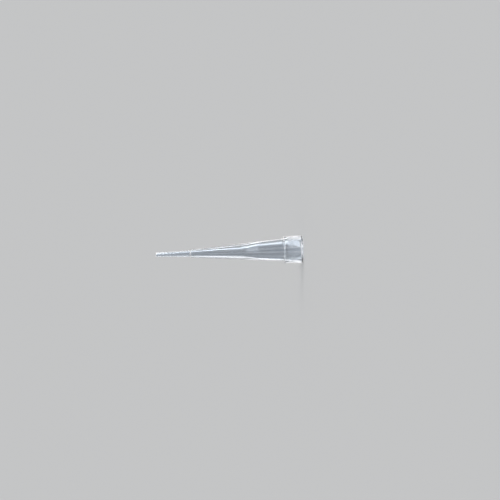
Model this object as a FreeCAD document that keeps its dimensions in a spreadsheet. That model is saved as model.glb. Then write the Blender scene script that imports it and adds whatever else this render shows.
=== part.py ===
import FreeCAD, Part
import os

import Sketcher
from FreeCAD import Placement, Rotation, Vector

# A 10 microlitre pipette tip: one thin-walled polypropylene moulding, round about a single axis.
# Lengths are in millimetres. The tip stands on the rim of its mouth, as a loose tip can, because on
# its side it rolls. The origin is the centre of the mouth, and the nozzle points along +Z.

NODE = "pipette_tip"

SIZES = (
    ("overall_length", 31.5, "mouth face to nozzle end"),
    ("collar_length", 4.0, "mouth face to the collar's front face"),
    ("nozzle_length", 7.4, "step to nozzle end"),
    ("socket_diameter", 4.4, "bore that grips the pipette's cone"),
    ("socket_depth", 3.05, "mouth face to the socket's floor"),
    ("seat_ledge", 0.12, "how far the socket's floor stands in"),
    ("mouth_wall", 0.75, "collar wall at the mouth"),
    ("collar_front_wall", 0.65, "collar's front corner, out from the socket's radius"),
    ("body_wall", 0.42, "body wall from the socket to the inner shoulder"),
    ("shoulder_depth", 9.4, "mouth face to the wide end of the inner shoulder"),
    ("shoulder_length", 2.9, "length of the inner shoulder"),
    ("shoulder_wall", 0.66, "body wall at the narrow end of the inner shoulder"),
    ("body_end_diameter", 1.63, "outside diameter of the body at the step"),
    ("step_height", 0.12, "how far the nozzle is set in at the step"),
    ("nozzle_wall", 0.22, "nozzle wall at the step"),
    ("orifice_diameter", 0.44, "hole in the nozzle's end"),
    ("orifice_wall", 0.23, "wall round the orifice"),
    ("lead_in", 0.25, "chamfer inside the mouth"),
    ("collar_edge_radius", 0.15, "rounding of the collar's outer edges"),
    ("collar_root_radius", 0.15, "rounding where the body meets the collar"),
    ("shoulder_blend_radius", 14.0, "rounding at the narrow end of the inner shoulder"),
    ("edge_break", 0.04, "rounding of the step and of the nozzle's end"),
)

# Radii of the section and places along the axis, as expressions on the sheet.
SOCKET = "(sizes.socket_diameter / 2)"
SEAT = f"({SOCKET} - sizes.seat_ledge)"
MOUTH = f"({SOCKET} + sizes.mouth_wall)"
COLLAR_FRONT = f"({SOCKET} + sizes.collar_front_wall)"
STEP_PLACE = "(sizes.overall_length - sizes.nozzle_length)"
SHOULDER_END = "(sizes.shoulder_depth + sizes.shoulder_length)"
BODY_END = "(sizes.body_end_diameter / 2)"
NOZZLE_TOP = f"({BODY_END} - sizes.step_height)"
ORIFICE = "(sizes.orifice_diameter / 2)"
NOZZLE_END = f"({ORIFICE} + sizes.orifice_wall)"
CONE_TOP = f"({SEAT} + sizes.body_wall)"
CONE_FALL = f"(({CONE_TOP} - {BODY_END}) / ({STEP_PLACE} - sizes.socket_depth))"


def body_radius(place):
    """Outside radius of the body's cone at a place along the axis."""
    return f"({CONE_TOP} - {CONE_FALL} * ({place} - sizes.socket_depth))"


# Corners of the wall's section in order: name, radius, place along the axis.
SECTION = (
    ("mouth_inside", SOCKET, "0"),
    ("mouth_outside", MOUTH, "0"),
    ("collar_front", COLLAR_FRONT, "sizes.collar_length"),
    ("collar_root", body_radius("sizes.collar_length"), "sizes.collar_length"),
    ("body_end", BODY_END, STEP_PLACE),
    ("nozzle_top", NOZZLE_TOP, STEP_PLACE),
    ("nozzle_end", NOZZLE_END, "sizes.overall_length"),
    ("orifice", ORIFICE, "sizes.overall_length"),
    ("nozzle_bore", f"({NOZZLE_TOP} - sizes.nozzle_wall)", STEP_PLACE),
    ("shoulder_narrow", f"({body_radius(SHOULDER_END)} - sizes.shoulder_wall)", SHOULDER_END),
    ("shoulder_wide", f"({body_radius('sizes.shoulder_depth')} - sizes.body_wall)", "sizes.shoulder_depth"),
    ("seat_inside", SEAT, "sizes.socket_depth"),
    ("seat_outside", SOCKET, "sizes.socket_depth"),
)


def make_sheet(document):
    sheet = document.addObject("Spreadsheet::Sheet", "sizes")
    for row, (alias, value, meaning) in enumerate(SIZES, start=1):
        sheet.set(f"A{row}", meaning)
        sheet.set(f"B{row}", str(value))
        sheet.setAlias(f"B{row}", alias)
    document.recompute()


def pin(sketch, kind, vertex, name, expression, value):
    """Dimension from the sketch's origin to the start of a line, bound to an expression."""
    index = sketch.addConstraint(Sketcher.Constraint(kind, -1, 1, vertex, 1, value))
    sketch.renameConstraint(index, name)
    sketch.setExpression(f"Constraints.{name}", expression)


def draw_section(body):
    """Closed sketch of the wall: radius along the sketch's x, the tip's axis along its y."""
    plane = next(f for f in body.Origin.OriginFeatures if f.Role == "XZ_Plane")
    sketch = body.newObject("Sketcher::SketchObject", "wall_section")
    sketch.AttachmentSupport = (plane, [""])
    sketch.MapMode = "FlatFace"
    # A corner may start anywhere, because its two dimensions then move it to its place.
    corners = [Vector(index + 1, index, 0) for index in range(len(SECTION))]
    for start, end in zip(corners, corners[1:] + corners[:1]):
        sketch.addGeometry(Part.LineSegment(start, end), False)
    for index, (name, radius, place) in enumerate(SECTION):
        before = (index - 1) % len(SECTION)
        sketch.addConstraint(Sketcher.Constraint("Coincident", before, 2, index, 1))
        pin(sketch, "DistanceX", index, f"{name}_radius", radius, corners[index].x)
        if place == "0":
            sketch.addConstraint(Sketcher.Constraint("PointOnObject", index, 1, -1))
        else:
            pin(sketch, "DistanceY", index, f"{name}_place", place, corners[index].y)
    return sketch


def corner_point(section, name):
    """Radius and place along the axis of a named corner of the solved sketch."""
    index = [corner for corner, _, _ in SECTION].index(name)
    start = section.Geometry[index].StartPoint
    return start.x, start.y


def circle_edges(shape, section, names):
    """Names of the circular edges that the section's named corners sweep out."""
    found = []
    for name in names:
        radius, place = corner_point(section, name)
        for number, edge in enumerate(shape.Edges, start=1):
            curve = edge.Curve
            if not isinstance(curve, Part.Circle):
                continue
            if abs(curve.Radius - radius) < 1e-4 and abs(curve.Center.z - place) < 1e-4:
                found.append(f"Edge{number}")
    if len(found) != len(names):
        raise RuntimeError(f"expected one edge for each of {names}, found {found}")
    return found


def dress(body, section, kind, name, corners, size):
    """Fillet or chamfer on the edges swept by some corners, its size bound to the sheet."""
    document = body.Document
    document.recompute()
    base = body.Tip
    feature = body.newObject(f"PartDesign::{kind}", name)
    feature.Base = (base, circle_edges(base.Shape, section, corners))
    feature.setExpression("Radius" if kind == "Fillet" else "Size", f"sizes.{size}")
    document.recompute()
    return feature


def make_tip(document):
    body = document.addObject("PartDesign::Body", NODE)
    body.Label = NODE
    body.Placement = Placement(Vector(0, 0, 0), Rotation())
    section = draw_section(body)
    document.recompute()
    wall = body.newObject("PartDesign::Revolution", "wall")
    wall.Profile = section
    wall.ReferenceAxis = (section, ["V_Axis"])
    wall.Angle = 360
    section.Visibility = False

    dress(body, section, "Chamfer", "mouth_lead_in", ["mouth_inside"], "lead_in")
    dress(body, section, "Fillet", "collar_edges", ["mouth_outside", "collar_front"], "collar_edge_radius")
    dress(body, section, "Fillet", "collar_root", ["collar_root"], "collar_root_radius")
    dress(body, section, "Fillet", "shoulder_blend", ["shoulder_narrow"], "shoulder_blend_radius")
    dress(body, section, "Fillet", "edge_breaks", ["body_end", "nozzle_end"], "edge_break")
    return body


def check(document):
    for item in document.Objects:
        if "Invalid" in item.State or "Error" in item.State:
            raise RuntimeError(f"{item.Label} did not build: {item.State}")


def export(body):
    shape = body.Shape
    if shape.isNull() or not shape.isValid() or len(shape.Solids) != 1:
        raise RuntimeError(f"{body.Label} is not one valid solid")
    os.makedirs("parts", exist_ok=True)
    shape.exportStep(f"parts/{body.Label}.step")
    print(f"{body.Label}: {shape.Volume:.2f} mm3")


document = FreeCAD.newDocument("pipette_tip")
make_sheet(document)
tip = make_tip(document)
document.recompute()
check(document)
export(tip)
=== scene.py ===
import math

import bmesh
import bpy
from mathutils import Matrix, Vector


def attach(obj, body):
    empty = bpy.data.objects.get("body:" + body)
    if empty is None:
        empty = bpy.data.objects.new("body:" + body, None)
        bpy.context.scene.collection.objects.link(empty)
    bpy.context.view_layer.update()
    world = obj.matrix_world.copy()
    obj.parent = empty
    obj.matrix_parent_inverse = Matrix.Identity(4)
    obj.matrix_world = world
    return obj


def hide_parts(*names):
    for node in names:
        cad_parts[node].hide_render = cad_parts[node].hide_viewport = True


# A clear polypropylene pipette tip, standing on its mouth. Lengths are in metres, in the frame's axes.

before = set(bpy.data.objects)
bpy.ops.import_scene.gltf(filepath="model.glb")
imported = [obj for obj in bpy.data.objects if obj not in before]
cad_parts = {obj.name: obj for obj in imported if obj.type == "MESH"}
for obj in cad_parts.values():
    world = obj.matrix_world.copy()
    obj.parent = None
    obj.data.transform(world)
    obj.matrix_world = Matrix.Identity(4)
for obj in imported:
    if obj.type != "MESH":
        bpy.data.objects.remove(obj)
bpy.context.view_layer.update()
tip_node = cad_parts["pipette_tip"]

MICRON = 1e-6

# The moulding's mesh
SIDES = 192                     # faces round the axis
RING_SPACING = 0.00035          # the longest gap between rings along a straight wall
CORNER_HOLD = 0.000012          # a ring this far from each corner keeps the wall's shading straight
SHARP_ANGLE = math.radians(25)
SEAL_BEAD_HEIGHT = 0.0023       # the middle of the low bead round the socket, above the mouth
SEAL_BEAD_WIDTH = 0.00034
SEAL_BEAD_RISE = 0.00004
SOCKET_SIDE = 0.0025            # the socket's wall is nearer the axis than this, and the outside isn't
BEAD_STEPS = 10                 # runs that the bead's rounded outline is drawn with

# The camera: a long lens that looks a little down on the standing tip and is rolled onto its side
LOOK_AT = Vector((0.00027, 0.0, 0.01125))
CAMERA_DISTANCE = 1.0
CAMERA_ELEVATION = math.radians(5.0)
AXIS_TILT = math.radians(2.25)  # how far the tip's axis climbs towards the right of the picture
FRAME_WIDTH = 0.10715           # what the picture spans at the tip
SENSOR_WIDTH = 36.0
NEAREST_SEEN = 0.01
FARTHEST_SEEN = 20.0

# Light. White paper lies at about 1 under the sky and the key light together.
SKY = 0.6
KEY_STRENGTH = 1.5
KEY_COMES_FROM = Vector((0.5, -0.4, 1.2))
KEY_ANGLE = math.radians(35.0)  # how wide the key light looks from the tip
FLOOR_COLOUR = (0.54, 0.545, 0.55)
FLOOR_RADIUS = 3.0
FLOOR_SIDES = 96
FLOOR_GAP = 0.00002             # the floor's face and the tip's don't share a plane
BACKDROP_COLOUR = (0.551, 0.556, 0.561)

# The plastic
IOR = 1.49
TRANSMISSION = 0.97
LAMPLIGHT_THROUGH = (0.92, 0.925, 0.93, 1.0)    # what each surface lets through on the way to a lamp
HAZE = 120.0                    # light scattered per metre of plastic
HAZE_COLOUR = (0.94, 0.97, 1.0, 1.0)
HAZE_ANISOTROPY = 0.3

# Its skin: streaks drawn lengthwise by the flow in the mould, and a fine mottle
STREAKS_ROUND = 9.0             # noise cells per radian, at any radius, so the streaks narrow with the taper
STREAKS_ALONG = 130.0           # noise cells in a metre of height
STREAK_DETAIL = 3.0
STREAK_DEPTH = 4 * MICRON
STREAK_ROUGHNESS = (0.04, 0.12)
ROUGHNESS_SPAN = (0.3, 0.7)     # the noise's values at which the roughness reaches its ends
MOTTLE_SCALE = 5000.0
MOTTLE_DETAIL = 2.0
MOTTLE_DEPTH = 2 * MICRON
TINT_THIN = (0.7, 0.735, 0.775, 1.0)
TINT_THICK = (0.605, 0.65, 0.707, 1.0)
TINT_SPAN = (0.35, 0.65)        # the noise's values at which the tint reaches its ends

# Lines at the step and at the nozzle's end: frosted, and painted whiter there as a highlight
FROSTED_AND_HIGHLIGHT_LINES = (0.0241, 0.0315)   # their heights
EDGE_LINE_WIDTH = 0.0002
EDGE_LINE_FADE = (0.3, 0.6)     # the line is full up to the first and gone from the second of these widths
EDGE_ROUGHNESS = 0.4
# painted highlight: the lines' near-white tint stands in for light caught by the step and the nozzle's end
PAINTED_HIGHLIGHT_TINT = (0.93, 0.94, 0.95, 1.0)

# Soft boxes that only gloss and clear plastic see, in place of the floor and the backdrop. Each is a range
# of directions, in degrees from +Y towards +X, with a brightness: 0 is the backdrop's shade, and 1 is SOFTBOX
# times white.
SOFTBOX = 4.5
SOFTBOX_COLOUR = (1.0, 0.985, 0.97)
BOX_FADE = 6.0                  # degrees beside a box over which it fades out
FILL_FADE = 2.0                 # the same before the fill
BEHIND_FADES = (4.0, 5.0)       # the same before and after the box behind the tip
SIDE_BOX = (62.0, 96.0)
SIDE_FADES = (6.0, 10.0)        # the same before and after the box on the +X side
REAR_BOXES = ((-166.0, -152.0), (-116.0, -104.0), (148.0, 164.0))   # for views from the other sides
REAR_BRIGHTNESS = 0.3
OVERHEAD_BRIGHTNESS = 0.45
OVERHEAD_RISE = (0.55, 0.7)     # sines of the elevations at which the overhead box starts and is full
UNDER_TIP = ((-180.0, 0.12), (180.0, 0.12))     # the same all round


def box_stops(start, end, brightness):
    """Stops of one box with dark on both sides of it."""
    return ((start - BOX_FADE, 0.0), (start, brightness), (end, brightness), (end + BOX_FADE, 0.0))


def soft_boxes(low, behind, side, between=0.0, fill=(0.0, 0.0)):
    """Stops of one row. low, on the -X side, and behind, behind the tip, are boxes given by start, end and
    brightness, and side is the brightness of the one on the +X side. fill, given by start and brightness,
    is dim light up to the box behind the tip, and between is the brightness from there to the side's box."""
    behind_from, behind_to, behind_brightness = behind
    fill_from, fill_brightness = fill
    side_from, side_to = SIDE_BOX
    return (
        *box_stops(*REAR_BOXES[0], REAR_BRIGHTNESS),
        *box_stops(*REAR_BOXES[1], REAR_BRIGHTNESS),
        *box_stops(*low),
        (fill_from - FILL_FADE, 0.0),
        (fill_from, fill_brightness),
        (behind_from - BEHIND_FADES[0], fill_brightness),
        (behind_from, behind_brightness),
        (behind_to, behind_brightness),
        (behind_to + BEHIND_FADES[1], between),
        (side_from - SIDE_FADES[0], between),
        (side_from, side),
        (side_to, side),
        (side_to + SIDE_FADES[1], 0.0),
        *box_stops(*REAR_BOXES[2], REAR_BRIGHTNESS),
    )


COLLAR_BOXES = soft_boxes((-58.0, -30.0, 0.4), (10.0, 27.0, 0.42), 0.28, between=0.2, fill=(-16.0, 0.07))
WIDE_BODY_BOXES = soft_boxes((-40.0, -29.0, 0.25), (11.0, 17.0, 0.6), 0.05)
NARROW_BODY_BOXES = soft_boxes((-56.0, -34.0, 0.6), (17.0, 26.0, 0.95), 0.05)
NOZZLE_BOXES = soft_boxes((-60.0, -36.0, 0.4), (12.0, 28.0, 0.42), 0.05)
FAR_BOXES = soft_boxes((-60.0, -36.0, 0.3), (15.0, 26.0, 0.95), 0.05, fill=(0.0, 0.12))

# The row of boxes at each distance from the tip's foot, blended from one distance to the next. The camera
# looks down by 5 degrees, so it sees the floor through a part of the tip at about eleven times that part's
# height away: rows further off serve parts further up. The last row is the world's too.
GLOW = (
    (0.0030, UNDER_TIP),
    (0.0045, COLLAR_BOXES),
    (0.036, COLLAR_BOXES),
    (0.046, WIDE_BODY_BOXES),
    (0.130, WIDE_BODY_BOXES),
    (0.160, NARROW_BODY_BOXES),
    (0.265, NARROW_BODY_BOXES),
    (0.290, NOZZLE_BOXES),
    (0.400, NOZZLE_BOXES),
    (0.500, FAR_BOXES),
)


# ---- the moulding -------------------------------------------------------------------------------
def section_loop(node):
    """The CAD tip's section as a closed loop of (radius, height), read along the seam at y = 0."""
    place = {}
    for vertex in node.data.vertices:
        if abs(vertex.co.y) < MICRON and vertex.co.x > 0.0:
            place[vertex.index] = (round(vertex.co.x, 6), round(vertex.co.z, 6))
    beside = {point: set() for point in place.values()}
    for edge in node.data.edges:
        a, b = (place.get(index) for index in edge.vertices)
        if a and b and a != b:
            beside[a].add(b)
            beside[b].add(a)
    start = min(beside, key=lambda point: (point[1], point[0]))
    loop = [start, min(beside[start])]
    while True:
        onward = [point for point in beside[loop[-1]] if point != loop[-2]]
        if onward[0] == start:
            return loop
        loop.append(onward[0])


def with_seal_bead(loop):
    """The loop with a low rounded bead on the socket's straight wall, too small for the CAD."""
    beaded = []
    for start, end in zip(loop, loop[1:] + loop[:1]):
        beaded.append(start)
        low, high = sorted((start[1], end[1]))
        if start[0] == end[0] and low < SEAL_BEAD_HEIGHT < high and start[0] < SOCKET_SIDE:
            for step in range(BEAD_STEPS + 1):
                share = step / BEAD_STEPS
                rise = SEAL_BEAD_RISE * math.sin(math.pi * share) ** 2
                height = SEAL_BEAD_HEIGHT + SEAL_BEAD_WIDTH * (share - 0.5)
                beaded.append((start[0] - rise, height))
    return beaded


def with_rings(loop):
    """The loop with more points along its straight runs, and one held close to each end of them."""
    rings = []
    for start, end in zip(loop, loop[1:] + loop[:1]):
        start, end = Vector(start), Vector(end)
        run = (end - start).length
        rings.append(start)
        if run < 4 * CORNER_HOLD:
            continue
        hold = CORNER_HOLD / run
        count = max(1, math.ceil(run / RING_SPACING))
        rings.append(start.lerp(end, hold))
        rings.extend(start.lerp(end, step / count) for step in range(1, count))
        rings.append(start.lerp(end, 1.0 - hold))
    return rings


def lathe(name, rings):
    """A closed moulding: the section's rings turned round the Z axis."""
    mesh = bmesh.new()
    rows = []
    for radius, height in rings:
        row = []
        for side in range(SIDES):
            angle = 2.0 * math.pi * side / SIDES
            row.append(mesh.verts.new((radius * math.cos(angle), radius * math.sin(angle), height)))
        rows.append(row)
    for lower, upper in zip(rows, rows[1:] + rows[:1]):
        for side in range(SIDES):
            after = (side + 1) % SIDES
            mesh.faces.new((lower[side], lower[after], upper[after], upper[side]))
    bmesh.ops.recalc_face_normals(mesh, faces=mesh.faces)
    data = bpy.data.meshes.new(name)
    mesh.to_mesh(data)
    mesh.free()
    data.shade_smooth()
    data.set_sharp_from_angle(angle=SHARP_ANGLE)
    piece = bpy.data.objects.new(name, data)
    bpy.context.scene.collection.objects.link(piece)
    return piece


# ---- materials ----------------------------------------------------------------------------------
def add_node(tree, kind, inputs=(), **settings):
    """A node with its settings, and a value or a link for each input named."""
    node = tree.nodes.new(kind)
    for name, value in settings.items():
        setattr(node, name, value)
    for name, value in dict(inputs).items():
        if isinstance(value, bpy.types.NodeSocket):
            tree.links.new(value, node.inputs[name])
        else:
            node.inputs[name].default_value = value
    return node


def empty_material(name):
    """A material with no nodes yet, and its tree."""
    material = bpy.data.materials.new(name)
    material.use_nodes = True
    material.node_tree.nodes.clear()
    return material, material.node_tree


def seen_by(tree, *rays):
    """1 for the kinds of ray named, and 0 for the others."""
    path = add_node(tree, "ShaderNodeLightPath")
    seen = path.outputs[rays[0]]
    for ray in rays[1:]:
        either = add_node(tree, "ShaderNodeMath", {0: seen, 1: path.outputs[ray]}, operation="MAXIMUM")
        seen = either.outputs["Value"]
    return seen


def vector_math(tree, operation, inputs):
    return add_node(tree, "ShaderNodeVectorMath", inputs, operation=operation).outputs["Vector"]


def around_and_along(tree, around, along):
    """Coordinates that run round the axis and along it, so a pattern follows the taper."""
    place = add_node(tree, "ShaderNodeTexCoord").outputs["Object"]
    flat = vector_math(tree, "MULTIPLY", {0: place, 1: (1.0, 1.0, 0.0)})
    unit = vector_math(tree, "NORMALIZE", {0: flat})
    turn = vector_math(tree, "SCALE", {0: unit, "Scale": around})
    rise = vector_math(tree, "MULTIPLY", {0: place, 1: (0.0, 0.0, along)})
    return vector_math(tree, "ADD", {0: turn, 1: rise})


def line_at(tree, height, width):
    """1 on a thin ring round the tip at this height, and 0 elsewhere."""
    place = add_node(tree, "ShaderNodeTexCoord").outputs["Object"]
    rise = add_node(tree, "ShaderNodeSeparateXYZ", {"Vector": place}).outputs["Z"]
    off = add_node(tree, "ShaderNodeMath", {0: rise, 1: height}, operation="SUBTRACT").outputs["Value"]
    away = add_node(tree, "ShaderNodeMath", {0: off}, operation="ABSOLUTE").outputs["Value"]
    line = add_node(tree, "ShaderNodeMapRange", {
        "Value": away,
        "From Min": EDGE_LINE_FADE[0] * width,
        "From Max": EDGE_LINE_FADE[1] * width,
        "To Min": 1.0,
        "To Max": 0.0,
    })
    return line.outputs["Result"]


def clear_plastic():
    """Clear, faintly blue and milky plastic with lengthwise streaks, a mottled skin, and two frosted lines
    painted whiter as a highlight.
    """
    material, tree = empty_material("clear_polypropylene")
    streak_noise = add_node(tree, "ShaderNodeTexNoise", {
        "Vector": around_and_along(tree, STREAKS_ROUND, STREAKS_ALONG),
        "Scale": 1.0,
        "Detail": STREAK_DETAIL,
    })
    streaks = streak_noise.outputs["Fac"]
    place = add_node(tree, "ShaderNodeTexCoord").outputs["Object"]
    mottle = add_node(tree, "ShaderNodeTexNoise", {
        "Vector": place,
        "Scale": MOTTLE_SCALE,
        "Detail": MOTTLE_DETAIL,
    })
    drawn = add_node(tree, "ShaderNodeBump", {"Height": streaks, "Strength": 1.0, "Distance": STREAK_DEPTH})
    skin = add_node(tree, "ShaderNodeBump", {
        "Height": mottle.outputs["Fac"],
        "Strength": 1.0,
        "Distance": MOTTLE_DEPTH,
        "Normal": drawn.outputs["Normal"],
    })
    finish = add_node(tree, "ShaderNodeMapRange", {
        "Value": streaks,
        "From Min": ROUGHNESS_SPAN[0],
        "From Max": ROUGHNESS_SPAN[1],
        "To Min": STREAK_ROUGHNESS[0],
        "To Max": STREAK_ROUGHNESS[1],
    })
    thinness = add_node(tree, "ShaderNodeMapRange", {
        "Value": streaks,
        "From Min": TINT_SPAN[0],
        "From Max": TINT_SPAN[1],
    })
    tint = add_node(tree, "ShaderNodeMix", {
        "Factor": thinness.outputs["Result"],
        "A": TINT_THICK,
        "B": TINT_THIN,
    }, data_type="RGBA")
    lines = [line_at(tree, height, EDGE_LINE_WIDTH) for height in FROSTED_AND_HIGHLIGHT_LINES]
    either_line = add_node(tree, "ShaderNodeMath", {0: lines[0], 1: lines[1]}, operation="MAXIMUM")
    on_frosted_highlight_line = either_line.outputs["Value"]
    # painted highlight: the two lines are tinted near white where the step and the nozzle's end catch light;
    # their roughness is the frosting
    colour = add_node(tree, "ShaderNodeMix", {
        "Factor": on_frosted_highlight_line,
        "A": tint.outputs["Result"],
        "B": PAINTED_HIGHLIGHT_TINT,
    }, data_type="RGBA")
    roughness = add_node(tree, "ShaderNodeMix", {
        "Factor": on_frosted_highlight_line,
        "A": finish.outputs["Result"],
        "B": EDGE_ROUGHNESS,
    })
    plastic = add_node(tree, "ShaderNodeBsdfPrincipled", {
        "Base Color": colour.outputs["Result"],
        "IOR": IOR,
        "Roughness": roughness.outputs["Result"],
        "Transmission Weight": TRANSMISSION,
        "Normal": skin.outputs["Normal"],
    })
    haze = add_node(tree, "ShaderNodeVolumeScatter", {
        "Color": HAZE_COLOUR,
        "Density": HAZE,
        "Anisotropy": HAZE_ANISOTROPY,
    })
    to_lamps = add_node(tree, "ShaderNodeBsdfTransparent", {"Color": LAMPLIGHT_THROUGH})
    surface = add_node(tree, "ShaderNodeMixShader", {
        0: seen_by(tree, "Is Shadow Ray"),
        1: plastic.outputs["BSDF"],
        2: to_lamps.outputs["BSDF"],
    })
    add_node(tree, "ShaderNodeOutputMaterial", {
        "Surface": surface.outputs["Shader"],
        "Volume": haze.outputs["Volume"],
    })
    return material


def glow_colour(brightness):
    """From the backdrop's shade at 0 to the soft box at 1, for a light of strength SOFTBOX."""
    shades = zip(BACKDROP_COLOUR, SOFTBOX_COLOUR)
    return (*[(dim + brightness * (SOFTBOX * lit - dim)) / SOFTBOX for dim, lit in shades], 1.0)


def glow_by_direction(tree, direction, stops):
    """A row's glow as a colour by direction from the tip."""
    axes = add_node(tree, "ShaderNodeSeparateXYZ", {"Vector": direction})
    turn = add_node(tree, "ShaderNodeMath", {0: axes.outputs["X"], 1: axes.outputs["Y"]}, operation="ARCTAN2")
    share = add_node(tree, "ShaderNodeMapRange", {
        "Value": turn.outputs["Value"],
        "From Min": -math.pi,
        "From Max": math.pi,
    })
    ramp_node = add_node(tree, "ShaderNodeValToRGB", {"Fac": share.outputs["Result"]})
    ramp = ramp_node.color_ramp
    while len(ramp.elements) < len(stops):
        ramp.elements.new(1.0)
    for element, (degrees, brightness) in zip(ramp.elements, stops):
        element.position = degrees / 360.0 + 0.5
        element.color = glow_colour(brightness)
    return ramp_node.outputs["Color"]


def floor_finish():
    """Pale paper, which gloss and plastic see as the glow."""
    material, tree = empty_material("pale_floor")
    paper = add_node(tree, "ShaderNodeBsdfDiffuse", {"Color": (*FLOOR_COLOUR, 1.0)})
    place = add_node(tree, "ShaderNodeTexCoord").outputs["Object"]
    distance = add_node(tree, "ShaderNodeVectorMath", {0: place}, operation="LENGTH").outputs["Value"]
    glow = glow_by_direction(tree, place, GLOW[0][1])
    for (near, _), (far, stops) in zip(GLOW, GLOW[1:]):
        onward = add_node(tree, "ShaderNodeMapRange", {"Value": distance, "From Min": near, "From Max": far})
        mix = add_node(tree, "ShaderNodeMix", {
            "Factor": onward.outputs["Result"],
            "A": glow,
            "B": glow_by_direction(tree, place, stops),
        }, data_type="RGBA")
        glow = mix.outputs["Result"]
    light = add_node(tree, "ShaderNodeEmission", {"Color": glow, "Strength": SOFTBOX})
    surface = add_node(tree, "ShaderNodeMixShader", {
        0: seen_by(tree, "Is Glossy Ray", "Is Transmission Ray"),
        1: paper.outputs["BSDF"],
        2: light.outputs["Emission"],
    })
    add_node(tree, "ShaderNodeOutputMaterial", {"Surface": surface.outputs["Shader"]})
    return material


# ---- the stage ----------------------------------------------------------------------------------
def add_floor():
    bpy.ops.mesh.primitive_circle_add(vertices=FLOOR_SIDES, radius=FLOOR_RADIUS, fill_type="NGON")
    floor = bpy.context.object
    floor.name = "floor"
    floor.location.z = -FLOOR_GAP
    floor.data.materials.append(floor_finish())


def add_key_light():
    data = bpy.data.lights.new("key_light", "SUN")
    data.energy = KEY_STRENGTH
    data.angle = KEY_ANGLE
    lamp = bpy.data.objects.new("key_light", data)
    lamp.rotation_euler = (-KEY_COMES_FROM).to_track_quat("-Z", "Y").to_euler()
    bpy.context.scene.collection.objects.link(lamp)


def world_glow(tree):
    """What gloss and plastic see beyond the floor: the last row of soft boxes, and the overhead one."""
    direction = add_node(tree, "ShaderNodeTexCoord").outputs["Generated"]
    upward = add_node(tree, "ShaderNodeSeparateXYZ", {"Vector": direction}).outputs["Z"]
    overhead = add_node(tree, "ShaderNodeMapRange", {
        "Value": upward,
        "From Min": OVERHEAD_RISE[0],
        "From Max": OVERHEAD_RISE[1],
        "To Max": OVERHEAD_BRIGHTNESS,
    })
    boxes = add_node(tree, "ShaderNodeMix", {
        "Factor": overhead.outputs["Result"],
        "A": glow_by_direction(tree, direction, GLOW[-1][1]),
        "B": (*SOFTBOX_COLOUR, 1.0),
    }, data_type="RGBA")
    return add_node(tree, "ShaderNodeBackground", {"Color": boxes.outputs["Result"], "Strength": SOFTBOX})


def light_world():
    """An even sky as the light. The camera sees the backdrop in its place, and gloss and plastic the glow."""
    world = bpy.data.worlds.new("studio")
    bpy.context.scene.world = world
    world.use_nodes = True
    tree = world.node_tree
    tree.nodes.clear()
    sky = add_node(tree, "ShaderNodeBackground", {"Color": (SKY, SKY, SKY, 1.0)})
    backdrop = add_node(tree, "ShaderNodeBackground", {"Color": (*BACKDROP_COLOUR, 1.0)})
    sky_or_backdrop = add_node(tree, "ShaderNodeMixShader", {
        0: seen_by(tree, "Is Camera Ray"),
        1: sky.outputs["Background"],
        2: backdrop.outputs["Background"],
    })
    surface = add_node(tree, "ShaderNodeMixShader", {
        0: seen_by(tree, "Is Glossy Ray", "Is Transmission Ray"),
        1: sky_or_backdrop.outputs["Shader"],
        2: world_glow(tree).outputs["Background"],
    })
    add_node(tree, "ShaderNodeOutputWorld", {"Surface": surface.outputs["Shader"]})


def add_camera():
    """The tip's mouth is to the right and the world's +X is up, as the tip lies in the photograph."""
    back = Vector((0.0, -math.cos(CAMERA_ELEVATION), math.sin(CAMERA_ELEVATION)))
    along = Vector((0.0, -math.sin(CAMERA_ELEVATION), -math.cos(CAMERA_ELEVATION)))
    across = Vector((1.0, 0.0, 0.0))
    right = math.cos(AXIS_TILT) * along - math.sin(AXIS_TILT) * across
    up = math.sin(AXIS_TILT) * along + math.cos(AXIS_TILT) * across
    data = bpy.data.cameras.new("camera")
    data.sensor_width = SENSOR_WIDTH
    data.lens = SENSOR_WIDTH * CAMERA_DISTANCE / FRAME_WIDTH
    data.clip_start = NEAREST_SEEN
    data.clip_end = FARTHEST_SEEN
    camera = bpy.data.objects.new("camera", data)
    turn = Matrix((right, up, back)).transposed().to_4x4()
    camera.matrix_world = Matrix.Translation(LOOK_AT + back * CAMERA_DISTANCE) @ turn
    bpy.context.scene.collection.objects.link(camera)
    bpy.context.scene.camera = camera


# ---- the scene ----------------------------------------------------------------------------------
tip = lathe("tip_moulding", with_rings(with_seal_bead(section_loop(tip_node))))
tip.data.materials.append(clear_plastic())
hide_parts("pipette_tip")
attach(tip, "root")

add_floor()
add_key_light()
light_world()
add_camera()

bpy.context.scene.view_settings.view_transform = "Standard"
